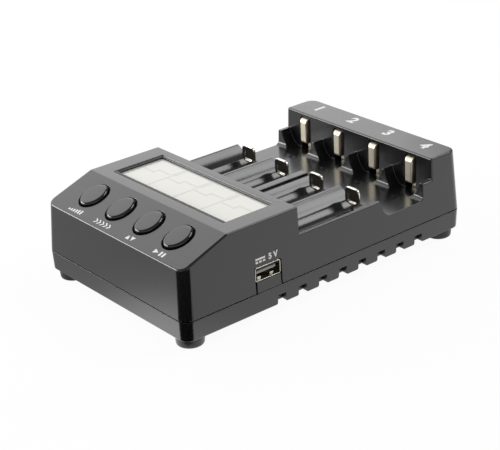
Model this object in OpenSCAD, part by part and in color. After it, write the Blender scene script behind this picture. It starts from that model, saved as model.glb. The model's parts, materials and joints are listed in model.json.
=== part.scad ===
// Four-bay desk charger for round cells: sloped button strip, display, sliding
// contacts in moulded cradles, USB outlet, power inlet and built-in fan.
// Millimetres. X is the width, -Y the console front, +Z up, origin under the middle.

/* [Body] */
// Width at the seam between the two covers
body_w = 99; // [98:0.5:112]
// Depth at the seam between the two covers
body_d = 157.2; // [152:0.2:176]
// Height of the bottom cover
base_h = 9.1; // [8.8:0.1:13]
// Height of the rubber feet
foot_h = 4.6; // [3:0.1:7]
// Diameter of the rubber feet at the cover
foot_dia = 12.4; // [9:0.1:12.5]
// Distance of the feet from the front and rear
foot_inset = 7.4; // [6.5:0.1:8]
// Moulded wall thickness
wall = 2; // [1.7:0.1:2.3]
// Side draft of the top cover, mm per mm of height
draft = 0.058; // [0.03:0.002:0.065]
// Side draft of the bottom cover, mm per mm of height
base_draft = 0.03; // [0.01:0.005:0.05]
// Radius of the upright corners
corner_r = 4.5; // [3.5:0.1:5]
// Radius of the small moulded edges
edge_r = 0.8; // [0.5:0.1:1]
// Height of the dark groove between the covers
seam_gap = 0.35; // [0.2:0.05:0.5]

/* [Console] */
// Length of the console, front to back
console_len = 61.7; // [60:0.1:66]
// Rise of the console top above the seam
console_rise = 30.3; // [29.5:0.1:36]
// Rise of the front edge above the seam
nose_rise = 21.8; // [20:0.1:23]
// Length of the button slope, seen from above
slope_run = 23.4; // [22:0.1:25]
// Width of the display window
window_w = 76.4; // [66:0.2:78]
// Length of the display window
window_len = 26.6; // [22:0.2:27]
// Distance from the display window to the console back
window_back = 4.6; // [4.2:0.1:5]
// Depth of the display below the console top
window_depth = 1.5; // [1.2:0.1:1.7]

/* [Buttons] */
// Width of an oval button cap
button_w = 11.4; // [9:0.1:12]
// Length of an oval button cap, up the slope
button_len = 13.6; // [11:0.1:14]
// Gap round a button cap
button_gap = 0.8; // [0.35:0.05:0.9]
// Height of the caps above the slope
button_proud = 1.25; // [0.6:0.05:1.5]
// Distance of the button row from the middle of the slope
button_up = 1.2; // [0:0.1:1.5]
// Travel of a button
button_travel = 0.8; // [0.5:0.1:1]
// Spacing of the buttons
button_pitch = 19.8; // [17.5:0.1:20.5]

/* [Bays] */
// Spacing of the bays
bay_pitch = 23.4; // [22.8:0.1:23.4]
// Rise of the cradle walls above the seam
cradle_rise = 18.2; // [17.4:0.1:19.5]
// Rise of the bay floor above the seam
floor_rise = 10.4; // [10.2:0.1:11.2]
// Radius of the upper cradle, for fat cells
fat_cell_r = 13.3; // [12.8:0.1:14]
// Half width of a cradle at the top of its walls
cradle_half = 10.9; // [10.5:0.1:11]
// Radius of the lower groove, for slim cells
slim_cell_r = 7.2; // [6.8:0.1:7.5]
// Width of the land in the middle of the cradles
centre_land = 4; // [3.2:0.1:5]
// Thickness of the outer cradle walls at their top
outer_land = 1.35; // [1.2:0.05:1.8]
// Length of the finger window across the bays
finger_len = 21.8; // [20:0.1:24]
// Length of the ledge with the fins
ledge_len = 5.9; // [4.5:0.1:6.5]
// Radius of the scoops between the fins
scoop_r = 11.1; // [10.8:0.1:11.4]
// Depth of the rear contact wall block
rear_block = 17.8; // [17:0.1:21]
// Rise of the rear contact wall above the seam
rear_rise = 28.1; // [27:0.1:33]

/* [Contacts] */
// Space between a sliding contact at rest and the rear wall
rest_gap = 34.9; // [33:0.1:36]
// Width of a sliding contact
tray_w = 8.6; // [8:0.1:9.8]
// Height of a sliding contact
tray_h = 7.8; // [7:0.1:9]
// Height of a sliding contact above the bay floor
tray_up = 3.45; // [2.5:0.05:4]
// Depth of a sliding contact
tray_d = 1.2; // [1.1:0.1:2]
// Width of the slot in the bay floor
slot_w = 2.6; // [2.4:0.1:3]
// Width of a positive contact
strip_w = 4.4; // [4:0.1:5]
// Height of a positive contact
strip_h = 12.3; // [11:0.1:12.4]
// Distance that a positive contact stands out of the rear wall
strip_proud = 1.6; // [0.6:0.1:2]
// Thickness of the contact sheet
sheet_t = 0.6; // [0.5:0.05:0.7]

/* [USB outlet] */
// Distance of the outlet from the front of the body
usb_from_front = 43.7; // [42:0.1:46]
// Rise of the outlet's centre above the seam
usb_rise = 7.9; // [7.5:0.1:8.4]
// Width of the socket shell
usb_w = 13.4; // [13.1:0.05:13.6]
// Height of the socket shell
usb_h = 6.2; // [5.7:0.05:6.3]

/* [Vents and fan] */
// Number of vent notches on each side
notch_count = 8; // [5:1:9]
// Spacing of the vent notches
notch_pitch = 11.37; // [9:0.1:11.5]
// Width of a vent notch
notch_w = 4.4; // [3.5:0.1:5]
// Height of a vent notch
notch_h = 4.3; // [3:0.1:4.8]
// Width of the square fan frame
fan_w = 40; // [36:0.5:42]
// Thickness of the fan frame
fan_h = 7; // [6:0.1:7.2]
// Number of fan blades
blade_count = 7; // [5:1:9]

/* [Inside] */
// Thickness of the circuit boards
board_t = 1.6; // [1.2:0.1:1.6]
// Running clearance of the sliding pieces
slide_gap = 0.3; // [0.25:0.05:0.35]
// Height of a slider carriage
carriage_h = 3.4; // [3:0.1:3.4]
// Length of a slider carriage
carriage_len = 9; // [8:0.1:10]
// Radius of the power inlet's bore
inlet_r = 3.2; // [2.8:0.1:3.3]
// Radius of the power inlet's pin
inlet_pin_r = 1; // [0.8:0.05:1.2]
// Radius of the housing screws' shank
screw_r = 1.45; // [1.2:0.05:1.6]

/* [Hidden] */
$fn = 48;
BAYS = [1, 2, 3, 4];
CORNERS = ["front_left", "front_right", "rear_left", "rear_right"];

// Heights, counted from the surface the feet stand on
z_base = foot_h;
z_base_floor = z_base + wall;
z_seam = z_base + base_h;
z_top = z_seam + console_rise;
z_nose = z_seam + nose_rise;
z_rear = z_seam + rear_rise;
z_cradle = z_seam + cradle_rise;
z_floor = z_seam + floor_rise;
z_under = z_floor - wall;
seat_gap = 0.15;
lip_t = 1.2;
lip_in = 1.2;
z_lip = z_under - carriage_h - 2 * seat_gap;
board_gap = 0.5;
z_main = z_lip - lip_t - board_gap;
z_usb = z_seam + usb_rise;
z_console_board = z_usb - usb_h / 2;

// Places along the depth
y_console_back = -body_d / 2 + console_len;
y_rear_face = body_d / 2 - rear_block;
y_ledge = y_rear_face - ledge_len;
y_finger = y_ledge - finger_len;
y_tray = y_rear_face - rest_gap;
stop_gap = 3.15;
slider_travel = y_tray - tray_d - y_console_back - stop_gap;
y_usb = -body_d / 2 + usb_from_front;

// Half width and end faces of the drafted top cover at height z
function half_w(z) = body_w / 2 - draft * (z - z_seam);
function front_y(z) = -body_d / 2 + draft * (z - z_seam);
function rear_y(z) = body_d / 2 - draft * (z - z_seam);
row_middle = (len(BAYS) + 1) / 2;
function bay_x(i) = (i - row_middle) * bay_pitch;
function button_x(i) = (i - row_middle) * button_pitch;

// Edges of the two level boards
board_edge = 1.2;
board_nose = 10;
board_side = 3.3;
console_x = half_w(z_seam) - 2 * wall;
y_console0 = -body_d / 2 + board_nose;
y_console1 = y_console_back - wall - board_edge;
main_x = half_w(z_main) - wall - board_side;
y_main0 = y_console_back - wall + board_edge;
y_main1 = rear_y(z_main) - 2 * wall - board_edge;

// Outlines
function arc(centre, r, from, to, steps = 6) =
    [for (k = [0:steps]) let (a = from + (to - from) * k / steps) centre + r * [cos(a), sin(a)]];
function round_ends(x0, y0, x1, y1, low_r, top_r) = concat(
    arc([x1 - top_r, y1 - top_r], top_r, 0, 90), arc([x0 + top_r, y1 - top_r], top_r, 90, 180),
    arc([x0 + low_r, y0 + low_r], low_r, 180, 270), arc([x1 - low_r, y0 + low_r], low_r, 270, 360));
function round_rect(x0, y0, x1, y1, r) = round_ends(x0, y0, x1, y1, r, r);

// Slope of the button strip
nose_y = front_y(z_nose);
y_crease = nose_y + slope_run;
slope_a = atan2(z_top - z_nose, y_crease - nose_y);
function slope_z(y) = z_nose + (y - nose_y) * tan(slope_a);
button_y = (nose_y + y_crease) / 2 + button_up * cos(slope_a);

// Extrude a YZ outline across the width
module across(width) { rotate([90, 0, 90]) translate([0, 0, -width / 2]) linear_extrude(width) children(); }
// Extrude an XZ outline along the depth, from y0 to y1
module along(y0, y1) { translate([0, y1, 0]) rotate([90, 0, 0]) linear_extrude(y1 - y0) children(); }
// Lay a piece on the button row, with its Z pointing out of the slope
module on_slope(x) { translate([x, button_y, slope_z(button_y)]) rotate([slope_a, 0, 0]) children(); }
// Disc with a rounded rim, used to round the corners of the mouldings
module rim(r, edge) {
    rotate_extrude($fn = 32)
        polygon(concat([[0, -edge]], arc([r - edge, 0], edge, -90, 90, 8), [[0, edge]]));
}

// Top cover

below_seam = 1;
rim_small = edge_r + 0.05;

// Foot of an upright corner, started a little below the seam and trimmed there
module corner_foot(side, y, r) {
    z = z_seam - below_seam;
    translate([side * (half_w(z) - r), y, z - below_seam]) cylinder(r = r, h = below_seam, $fn = 32);
}

module console_block() {
    nose_edge = 1;
    nose_c = nose_y + (corner_r - nose_edge) * cos(slope_a) + nose_edge;
    nose_z = slope_z(nose_c) - nose_edge / cos(slope_a);
    z_edge = z_top - edge_r;
    hull() for (side = [-1, 1]) {
        corner_foot(side, front_y(z_seam - below_seam) + corner_r, corner_r);
        corner_foot(side, y_console_back - rim_small, rim_small);
        translate([side * (half_w(nose_z) - corner_r), nose_c, nose_z])
            rotate([slope_a, 0, 0]) rim(corner_r, nose_edge);
        for (y = [y_crease + edge_r * tan(slope_a / 2), y_console_back - rim_small])
            translate([side * (half_w(z_edge) - rim_small), y, z_edge]) rim(rim_small, edge_r);
    }
}

module cradle_block() {
    z_edge = z_cradle - edge_r;
    hull() for (side = [-1, 1], y = [y_console_back - 2 * wall, y_rear_face + 2 * wall]) {
        corner_foot(side, y, rim_small);
        translate([side * (half_w(z_edge) - rim_small), y, z_edge]) rim(rim_small, edge_r);
    }
}

module rear_wall_block() {
    z_edge = z_rear - edge_r;
    hull() for (side = [-1, 1]) {
        corner_foot(side, rear_y(z_seam - below_seam) - corner_r, corner_r);
        corner_foot(side, y_rear_face + rim_small, rim_small);
        translate([side * (half_w(z_edge) - corner_r), rear_y(z_edge) - corner_r, z_edge])
            rim(corner_r, edge_r);
        translate([side * (half_w(z_edge) - rim_small), y_rear_face + rim_small, z_edge])
            rim(rim_small, edge_r);
    }
}

// Half-round cradles: a wide arc for fat cells with a narrow groove for slim ones
groove_below_floor = 0.1;
module cradle_cut(i) {
    y_end = y_finger + wall;
    fat_z = z_cradle + sqrt(pow(fat_cell_r, 2) - pow(cradle_half, 2));
    slim_z = z_floor - groove_below_floor + slim_cell_r;
    widen = half_w(z_cradle) - outer_land - cradle_half - bay_x(len(BAYS));
    outward = i == 1 ? -widen : i == 4 ? widen : 0;
    along(y_console_back, y_end) {
        for (dx = [0, outward]) translate([bay_x(i) + dx, fat_z]) circle(fat_cell_r);
        translate([bay_x(i), slim_z]) circle(slim_cell_r);
    }
}

// Low finger window across all bays, with a chamfered front end and a rounded rear foot
foot_fillet = 2.2;
lip_run = 4.2;
module finger_cut() {
    over = z_cradle + wall;
    knee = [y_finger - lip_run / 2, z_floor + wall];
    across(body_w + 2 * wall) polygon(concat(
        [[y_finger, z_floor]],
        arc([y_ledge - foot_fillet, z_floor + foot_fillet], foot_fillet, -90, 0),
        [[y_ledge, over], [y_finger - lip_run, over], [y_finger - lip_run, z_cradle], knee]));
}

// Round scoops in the ledge that leave the pointed fins between the bays
scoop_up = 1.5;
module scoop_cut(i) {
    intersection() {
        along(y_ledge - foot_fillet, y_rear_face)
            translate([bay_x(i), z_cradle + scoop_up]) circle(scoop_r);
        translate([bay_x(i) - scoop_r, y_ledge - foot_fillet, z_floor])
            cube([2 * scoop_r, ledge_len + foot_fillet, 2 * scoop_r]);
    }
}

contact_slot_w = strip_w + 1.8;
contact_slot_top = z_rear - wall - 0.1;
module contact_slot_cut(i) {
    translate([bay_x(i) - contact_slot_w / 2, y_rear_face - wall, z_floor])
        cube([contact_slot_w, 3 * wall, contact_slot_top - z_floor]);
}

neck_d = 1.1;
neck_y = y_tray - tray_d / 2;
module slider_slot_cut(i) {
    y0 = neck_y - neck_d / 2 - slider_travel - slide_gap;
    y1 = neck_y + neck_d / 2 + slide_gap;
    translate([bay_x(i) - slot_w / 2, y0, z_under - wall]) cube([slot_w, y1 - y0, 3 * wall]);
}

// Room inside the moulding, with the same wall all round
module cover_room() {
    z0 = z_seam - below_seam;
    slope_in = wall / cos(slope_a);
    nose_in = nose_y + wall;
    intersection() {
        across(body_w) polygon([
            [front_y(z0) + wall, z0],
            [nose_in, slope_z(nose_in) - slope_in],
            [y_crease + wall * tan(slope_a / 2), z_top - wall],
            [y_console_back - wall, z_top - wall],
            [y_console_back - wall, z_under],
            [y_rear_face + wall, z_under],
            [y_rear_face + wall, z_rear - wall],
            [rear_y(z_rear) - wall, z_rear - wall],
            [rear_y(z0) - wall, z0]]);
        along(-body_d, body_d) polygon([
            [-half_w(z0) + wall, z0], [half_w(z0) - wall, z0],
            [half_w(z_top) - wall, z_top], [-half_w(z_top) + wall, z_top]]);
    }
}

// Display window with a step round it, and the pocket that the panel lies in
panel_margin = 2.4;
y_window1 = y_console_back - window_back;
y_window0 = y_window1 - window_len;
module window_cut() {
    step = 0.8;
    step_depth = 0.6;
    translate([-window_w / 2, y_window0, z_top - step_depth]) cube([window_w, window_len, wall]);
    translate([-window_w / 2 + step, y_window0 + step, z_top - 2 * wall])
        cube([window_w - 2 * step, window_len - 2 * step, 3 * wall]);
    translate([-window_w / 2 - panel_margin, y_window0 - panel_margin, z_top - 2 * wall])
        cube([window_w + 2 * panel_margin, y_console_back - wall - y_window0 + panel_margin,
              2 * wall - window_depth]);
}

// Open slot in the right side that takes the USB shell and the bottom cover's tab
tab_gap = 0.35;
usb_gap = 0.15;
usb_side_gap = 0.3;
module usb_slot_cut() {
    translate([half_w(z_seam) - 3 * wall, y_usb - usb_w / 2 - usb_side_gap, z_seam - wall])
        cube([4 * wall, usb_w + 2 * usb_side_gap, z_usb + usb_h / 2 + usb_gap - z_seam + wall]);
}

// Channel under a cradle: two ribs with lips that the carriage runs on, and the spring's end wall
carriage_w = 11.8;
channel_w = carriage_w + 2 * slide_gap;
rib_t = 1.2;
spring_wall_t = 1.5;
y_spring_end = y_rear_face - 2.8;
module slider_channel(i) {
    y0 = y_console_back - wall;
    len = y_spring_end + spring_wall_t - y0;
    into_floor = wall / 2;
    rib_h = z_under + into_floor - z_lip + lip_t;
    for (side = [-1, 1]) {
        x_rib = side > 0 ? channel_w / 2 : -channel_w / 2 - rib_t;
        x_lip = side > 0 ? channel_w / 2 - lip_in : -channel_w / 2 - rib_t;
        translate([bay_x(i) + x_rib, y0, z_lip - lip_t]) cube([rib_t, len, rib_h]);
        translate([bay_x(i) + x_lip, y0, z_lip - lip_t]) cube([rib_t + lip_in, len, lip_t]);
    }
    translate([bay_x(i) - channel_w / 2 - rib_t, y_spring_end, z_lip - lip_t])
        cube([channel_w + 2 * rib_t, spring_wall_t, rib_h]);
}

// Screw places: two bosses on the front wall and two down from the rear wall's top
boss_r = 3.6;
screw_x = bay_pitch;
screw_from_front = 5;
screw_from_rear = 8.1;
screw_y = [-body_d / 2 + screw_from_front, body_d / 2 - screw_from_rear];
screw_bore_r = screw_r + 0.05;
front_boss_h = 8.3;
module at_screws() { for (sx = [-1, 1], y = screw_y) translate([sx * screw_x, y, 0]) children(); }
module cover_bosses() {
    for (sx = [-1, 1]) {
        translate([sx * screw_x, screw_y[0], z_seam]) cylinder(r = boss_r, h = front_boss_h);
        translate([sx * screw_x, screw_y[1], z_seam]) cylinder(r = boss_r, h = z_rear - wall / 2 - z_seam);
    }
}

// Power inlet's place in the rear face
inlet_nose_r = inlet_r + 0.9;
inlet_gap = 0.15;
inlet_body_w = 10;
inlet_body_d = 12;
inlet_body_h = 11;
z_inlet = z_main + inlet_body_h / 2;

module top_cover() {
    color("#3a3a3c") difference() {
        union() {
            difference() {
                union() {
                    console_block();
                    cradle_block();
                    rear_wall_block();
                }
                translate([-body_w, -body_d, z_seam - body_d]) cube([2 * body_w, 2 * body_d, body_d]);
                finger_cut();
                for (i = BAYS) cradle_cut(i);
                for (i = BAYS) scoop_cut(i);
                cover_room();
            }
            translate([-centre_land / 2, y_console_back - wall / 2, z_under])
                cube([centre_land, y_finger - lip_run - y_console_back + wall / 2, z_cradle - z_under]);
            for (i = BAYS) slider_channel(i);
            cover_bosses();
        }
        for (i = BAYS) contact_slot_cut(i);
        for (i = BAYS) slider_slot_cut(i);
        for (i = BAYS) on_slope(button_x(i)) translate([0, 0, -2 * wall])
            linear_extrude(4 * wall) button_outline(button_gap);
        window_cut();
        usb_slot_cut();
        at_screws() translate([0, 0, z_seam - wall]) cylinder(r = screw_bore_r, h = front_boss_h - 1 + wall);
        translate([0, body_d / 2 + wall, z_inlet]) rotate([90, 0, 0])
            cylinder(r = inlet_nose_r + inlet_gap, h = 4 * wall);
    }
}

// Bottom cover

base_edge = 0.5;
function base_half_w(z) = body_w / 2 - base_draft * (z_seam - z);
function base_half_d(z) = body_d / 2 - base_draft * (z_seam - z);

module at_corner(sx, sy, z) {
    translate([sx * (base_half_w(z) - corner_r), sy * (base_half_d(z) - corner_r), z]) children();
}

notch_in = 2 * wall;
module notch_cut(y) {
    r = 1.2;
    z0 = z_base;
    for (side = [-1, 1]) translate([side * body_w / 2, y, 0]) across(2 * notch_in) polygon(concat(
        arc([-notch_w / 2 - r, z0 + r], r, -90, 0),
        [[-notch_w / 2, z0 + notch_h], [notch_w / 2, z0 + notch_h]],
        arc([notch_w / 2 + r, z0 + r], r, 180, 270),
        [[notch_w / 2 + r, z0 - wall], [-notch_w / 2 - r, z0 - wall]]));
}

fan_y = 22;
grille_r = fan_w / 2 - 2.2;
module grille_cut() {
    slot = 2.2;
    pitch = 4.4;
    count = floor(grille_r / pitch);
    intersection() {
        translate([0, fan_y, z_base - wall]) cylinder(r = grille_r, h = 3 * wall);
        for (k = [-count:count]) translate([k * pitch - slot / 2, fan_y - fan_w, z_base - wall])
            cube([slot, 2 * fan_w, 3 * wall]);
    }
}

tower_r = 4.2;
head_r = 2.8;
head_h = 2.2;
head_seat = z_base + 3;
post_r = 3;
main_posts = [[main_x - 6, y_main0 + 12], [main_x - 6, y_main1 - 20]];
console_posts = [[console_x - 7.5, y_console0 + 12], [console_x - 7.5, y_console1 - 6]];
module board_posts(places, z1) {
    z0 = z_base + wall / 2;
    for (sx = [-1, 1], p = places) translate([sx * p.x, p.y, z0]) cylinder(r = post_r, h = z1 - z0);
}
module bottom_cover() {
    z_edge = z_base + base_edge;
    room_x = base_half_w(z_base) - wall;
    room_y = base_half_d(z_base) - wall;
    rim_w = 0.9;
    color("#38383a") difference() {
        union() {
            difference() {
                hull() for (sx = [-1, 1], sy = [-1, 1]) {
                    at_corner(sx, sy, z_seam) translate([0, 0, -below_seam])
                        cylinder(r = corner_r, h = below_seam, $fn = 32);
                    at_corner(sx, sy, z_edge) rim(corner_r, base_edge);
                }
                translate([0, 0, z_base_floor]) linear_extrude(body_d)
                    polygon(round_rect(-room_x, -room_y, room_x, room_y, corner_r - wall));
                translate([0, 0, z_seam - seam_gap]) linear_extrude(wall) difference() {
                    square([2 * body_w, 2 * body_d], center = true);
                    polygon(round_rect(-body_w / 2 + rim_w, -body_d / 2 + rim_w, body_w / 2 - rim_w,
                                       body_d / 2 - rim_w, corner_r - rim_w));
                }
                for (k = [0:notch_count - 1]) notch_cut((k - notch_count / 2 + 1.5) * notch_pitch);
                grille_cut();
            }
            at_screws() translate([0, 0, z_base + wall / 2]) cylinder(r = tower_r, h = base_h - wall / 2);
            board_posts(main_posts, z_main - board_t);
            board_posts(console_posts, z_console_board - board_t);
            usb_tab();
        }
        at_screws() translate([0, 0, z_base - wall]) {
            cylinder(r = head_r + 0.2, h = head_seat - z_base + wall);
            cylinder(r = screw_r + 0.15, h = base_h + 2 * wall);
        }
    }
}

// Tab that closes the top cover's slot below the USB shell
module usb_tab() {
    z1 = z_usb - usb_h / 2 - usb_gap;
    z0 = z_seam - 2 * seam_gap;
    w = usb_w - 2 * tab_gap;
    along(y_usb - w / 2, y_usb + w / 2) polygon([
        [half_w(z_seam) - wall, z_seam - wall], [half_w(z_seam) - 1, z0],
        [half_w(z_seam), z_seam], [half_w(z1), z1], [half_w(z1) - wall, z1]]);
}

module foot(corner) {
    sx = corner == "front_left" || corner == "rear_left" ? -1 : 1;
    sy = corner == "front_left" || corner == "front_right" ? -1 : 1;
    r = foot_dia / 2;
    taper = 0.3;
    edge = 1.1;
    low = r - taper;
    color("#1d1d1e") translate([sx * (body_w / 2 - foot_inset), sy * (body_d / 2 - foot_inset), 0])
        rotate_extrude()
            polygon(concat([[0, 0]], arc([low - edge, edge], edge, -90, 0), [[r, foot_h], [0, foot_h]]));
}

module housing_screws() {
    tip = z_seam + front_boss_h - 2;
    color("#8d8d90") at_screws() difference() {
        union() {
            translate([0, 0, head_seat - head_h]) cylinder(r = head_r, h = head_h);
            translate([0, 0, head_seat]) cylinder(r = screw_r, h = tip - head_seat);
        }
        for (a = [0, 90]) translate([0, 0, head_seat - head_h]) rotate(a) cube([3, 0.7, 2], center = true);
    }
}

// Display

panel_t = 2.1;
backlight_t = 3;
module display_plate(z, t, inset) {
    x = window_w / 2 + panel_margin - inset;
    translate([-x, y_window0 - panel_margin + inset, z - t])
        cube([2 * x, y_console_back - wall - y_window0 + panel_margin - 2 * inset, t]);
}
panel_gap = 0.2;
backlight_in = 0.6;
module display_panel() { color("#e6e6e2") display_plate(z_top - window_depth, panel_t, panel_gap); }
module display_backlight() {
    color("#f2f2ee") display_plate(z_top - window_depth - panel_t, backlight_t, backlight_in);
}

// Buttons and their board

stem_r = 2.2;
flange_over = 0.6;
flange_t = 1.1;
flange_top = wall + slide_gap;
stem_len = 7;
cap_round = 1.1;
module button_outline(over) {
    x = button_w / 2 + over;
    y = button_len / 2 + over;
    polygon([for (k = [0:$fn - 1]) [x * cos(360 * k / $fn), y * sin(360 * k / $fn)]]);
}
module button(i) {
    flange_bottom = flange_top + flange_t;
    color("#434345") on_slope(button_x(i)) {
        translate([0, 0, -stem_len]) cylinder(r = stem_r, h = stem_len);
        translate([0, 0, -flange_bottom]) linear_extrude(flange_t) button_outline(button_gap + flange_over);
        hull() for (a = [0, 30, 60, 90]) translate([0, 0, -flange_bottom])
            linear_extrude(flange_bottom + button_proud - cap_round + cap_round * sin(a))
                button_outline(cap_round * (cos(a) - 1));
    }
}

switch_w = 6;
switch_h = 3.4;
plunger_r = 1.7;
plunger_h = 1;
plunger_gap = 0.05;
switch_seat = stem_len + button_travel + plunger_gap + plunger_h + switch_h;
module tact_switch(i) {
    color("#2c2c2e") on_slope(button_x(i)) translate([0, 0, -switch_seat]) {
        translate([-switch_w / 2, -switch_w / 2, 0]) cube([switch_w, switch_w, switch_h]);
        cylinder(r = plunger_r, h = switch_h + plunger_h);
    }
}

button_board_len = 17;
module button_board() {
    x = button_x(len(BAYS)) + switch_w;
    color("#2f6b46") on_slope(0) translate([-x, -button_board_len / 2, -switch_seat - board_t])
        cube([2 * x, button_board_len, board_t]);
}

// Boards under the console and the cradles

module console_board() {
    color("#2f6b46") translate([-console_x, y_console0, z_console_board - board_t])
        cube([2 * console_x, y_console1 - y_console0, board_t]);
}

header_w = 7;
header_len = 10;
module main_board() {
    color("#2f6b46") difference() {
        translate([-main_x, y_main0, z_main - board_t]) cube([2 * main_x, y_main1 - y_main0, board_t]);
        for (sx = [-1, 1]) translate([sx * screw_x, screw_y[1], z_main - 2 * board_t])
            cylinder(r = tower_r + slide_gap, h = 4 * board_t);
    }
}

module board_header() {
    color("#202022") translate([-header_w / 2, y_console1, z_main])
        cube([header_w, header_len, z_console_board - z_main]);
}

// Positive contacts: folded strips that stand in the rear wall's slots

strip_up = 3;
z_strip0 = z_floor + strip_up;
tail_gap = 0.5;
module positive_contact(i) {
    side_fold = strip_proud + 1;
    fold_r = 0.8;
    low_bend = 1.2;
    top_bend = 2.2;
    y0 = y_rear_face - strip_proud;
    y_tail = y_rear_face + wall + tail_gap;
    z1 = z_strip0 + strip_h;
    tail_w = strip_w - 1.4;
    color("#cfc7ae") translate([bay_x(i), 0, 0]) {
        difference() {
            intersection() {
                across(strip_w)
                    polygon(round_ends(y0, z_strip0, y_tail + sheet_t, z1, low_bend, top_bend));
                translate([0, 0, z_strip0]) linear_extrude(strip_h)
                    polygon(round_rect(-strip_w / 2, y0, strip_w / 2, y_tail + wall, fold_r));
            }
            across(strip_w - 2 * sheet_t) polygon(round_ends(y0 + sheet_t, z_strip0 + sheet_t, y_tail,
                z1 - sheet_t, low_bend - sheet_t, top_bend - sheet_t));
            translate([-strip_w, y0 + side_fold, z_strip0 + low_bend])
                cube([2 * strip_w, y_tail - y0 - side_fold, strip_h - low_bend - top_bend]);
        }
        translate([-tail_w / 2, y_tail, z_main]) cube([tail_w, sheet_t, z_strip0 + low_bend - z_main]);
    }
}

// Sliding contacts: pressed trays on a neck, held by a carriage that a spring pulls back

tray_r = 2;
pocket_w = 5.4;
pocket_h = 5.1;
pocket_up = 0.9;
pocket_r = 1;
pocket_d = 0.8;
neck_w = slot_w - 0.8;
z_tray = z_floor + tray_up;
module tray_outline() {
    polygon(round_rect(-tray_w / 2, z_tray, tray_w / 2, z_tray + tray_h, tray_r));
}
module pocket_outline() {
    z0 = z_tray + pocket_up;
    polygon(round_rect(-pocket_w / 2, z0, pocket_w / 2, z0 + pocket_h, pocket_r));
}
module slider_contact(i) {
    color("#c9c2ab") translate([bay_x(i), 0, 0]) {
        difference() {
            along(y_tray - tray_d, y_tray) tray_outline();
            along(y_tray - tray_d - 1, y_tray - tray_d + pocket_d) pocket_outline();
        }
        translate([-neck_w / 2, neck_y - neck_d / 2, z_under - seat_gap - carriage_h + 1])
            cube([neck_w, neck_d, z_tray + pocket_up / 2 - z_under + seat_gap + carriage_h - 1]);
    }
}

carriage_y1 = neck_y + carriage_len / 2;
module slider_carriage(i) {
    color("#2a2a2c") difference() {
        translate([bay_x(i) - carriage_w / 2, carriage_y1 - carriage_len, z_under - seat_gap - carriage_h])
            cube([carriage_w, carriage_len, carriage_h]);
        translate([bay_x(i) - neck_w / 2, neck_y - neck_d / 2, z_under - seat_gap - carriage_h + 1])
            cube([neck_w, neck_d, carriage_h]);
    }
}

spring_r = 1.5;
wire_t = 0.45;
module slider_spring(i) {
    z = z_under - seat_gap - carriage_h / 2;
    color("#b9b9b5") translate([bay_x(i), y_spring_end, z]) rotate([90, 0, 0]) difference() {
        cylinder(r = spring_r, h = y_spring_end - carriage_y1);
        translate([0, 0, -1]) cylinder(r = spring_r - wire_t, h = y_spring_end - carriage_y1 + 2);
    }
}

// USB socket

usb_depth = 14;
usb_sheet = 0.35;
usb_r = 0.8;
usb_recess = 0.3;
x_usb = half_w(z_usb) - usb_recess;
module at_usb() { translate([x_usb, y_usb, z_usb]) children(); }
module usb_outline(inset) {
    x = usb_w / 2 - inset;
    y = usb_h / 2 - inset;
    polygon(round_rect(-x, -y, x, y, usb_r - inset));
}
module usb_shell() {
    tab_w = 2;
    tab_h = 0.7;
    tab_in = 2.6;
    color("#c4c4c2") at_usb() rotate([90, 0, 90]) {
        translate([0, 0, -usb_depth]) linear_extrude(usb_depth) difference() {
            usb_outline(0);
            usb_outline(usb_sheet);
        }
        translate([0, 0, -usb_depth]) linear_extrude(usb_sheet) usb_outline(0.1);
        for (sx = [-1, 1]) translate([sx * usb_w / 4, -usb_h / 2 + 0.2, -tab_in]) rotate([0, 90, 0])
            linear_extrude(tab_w, center = true) polygon([[3, 0], [1, tab_h], [0, tab_h], [-2, 0]]);
    }
}

tongue_w = 10.2;
tongue_t = 1.2;
tongue_in = 1.3;
tongue_z = -0.25;
module usb_tongue() {
    color("#d9d9d6") at_usb() translate([-usb_depth + usb_sheet, -tongue_w / 2, tongue_z])
        cube([usb_depth - usb_sheet - tongue_in, tongue_w, tongue_t]);
}

usb_strip_len = 10.5;
usb_strip_w = 1;
usb_strip_t = 0.25;
usb_strip_pitch = 2.3;
module usb_contacts() {
    x0 = -usb_depth + usb_sheet + 1;
    color("#c9a950") at_usb() for (k = [-1.5:1:1.5])
        translate([x0, k * usb_strip_pitch - usb_strip_w / 2, tongue_z - usb_strip_t])
            cube([usb_strip_len, usb_strip_w, usb_strip_t]);
}

// Power inlet

module at_inlet() { translate([0, rear_y(z_inlet) - 0.4, z_inlet]) rotate([90, 0, 0]) children(); }
inlet_nose = wall + 0.5;
inlet_bore_len = 9.5;
module inlet_socket() {
    color("#222224") at_inlet() difference() {
        union() {
            cylinder(r = inlet_nose_r, h = inlet_nose + 1);
            translate([-inlet_body_w / 2, -inlet_body_h / 2, inlet_nose])
                cube([inlet_body_w, inlet_body_h, inlet_body_d]);
        }
        translate([0, 0, -1]) cylinder(r = inlet_r, h = inlet_bore_len + 1);
    }
}
module inlet_pin() {
    color("#c9c7bf") at_inlet() translate([0, 0, 1.2]) cylinder(r = inlet_pin_r, h = inlet_bore_len - 1.2);
}

// Fan

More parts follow.
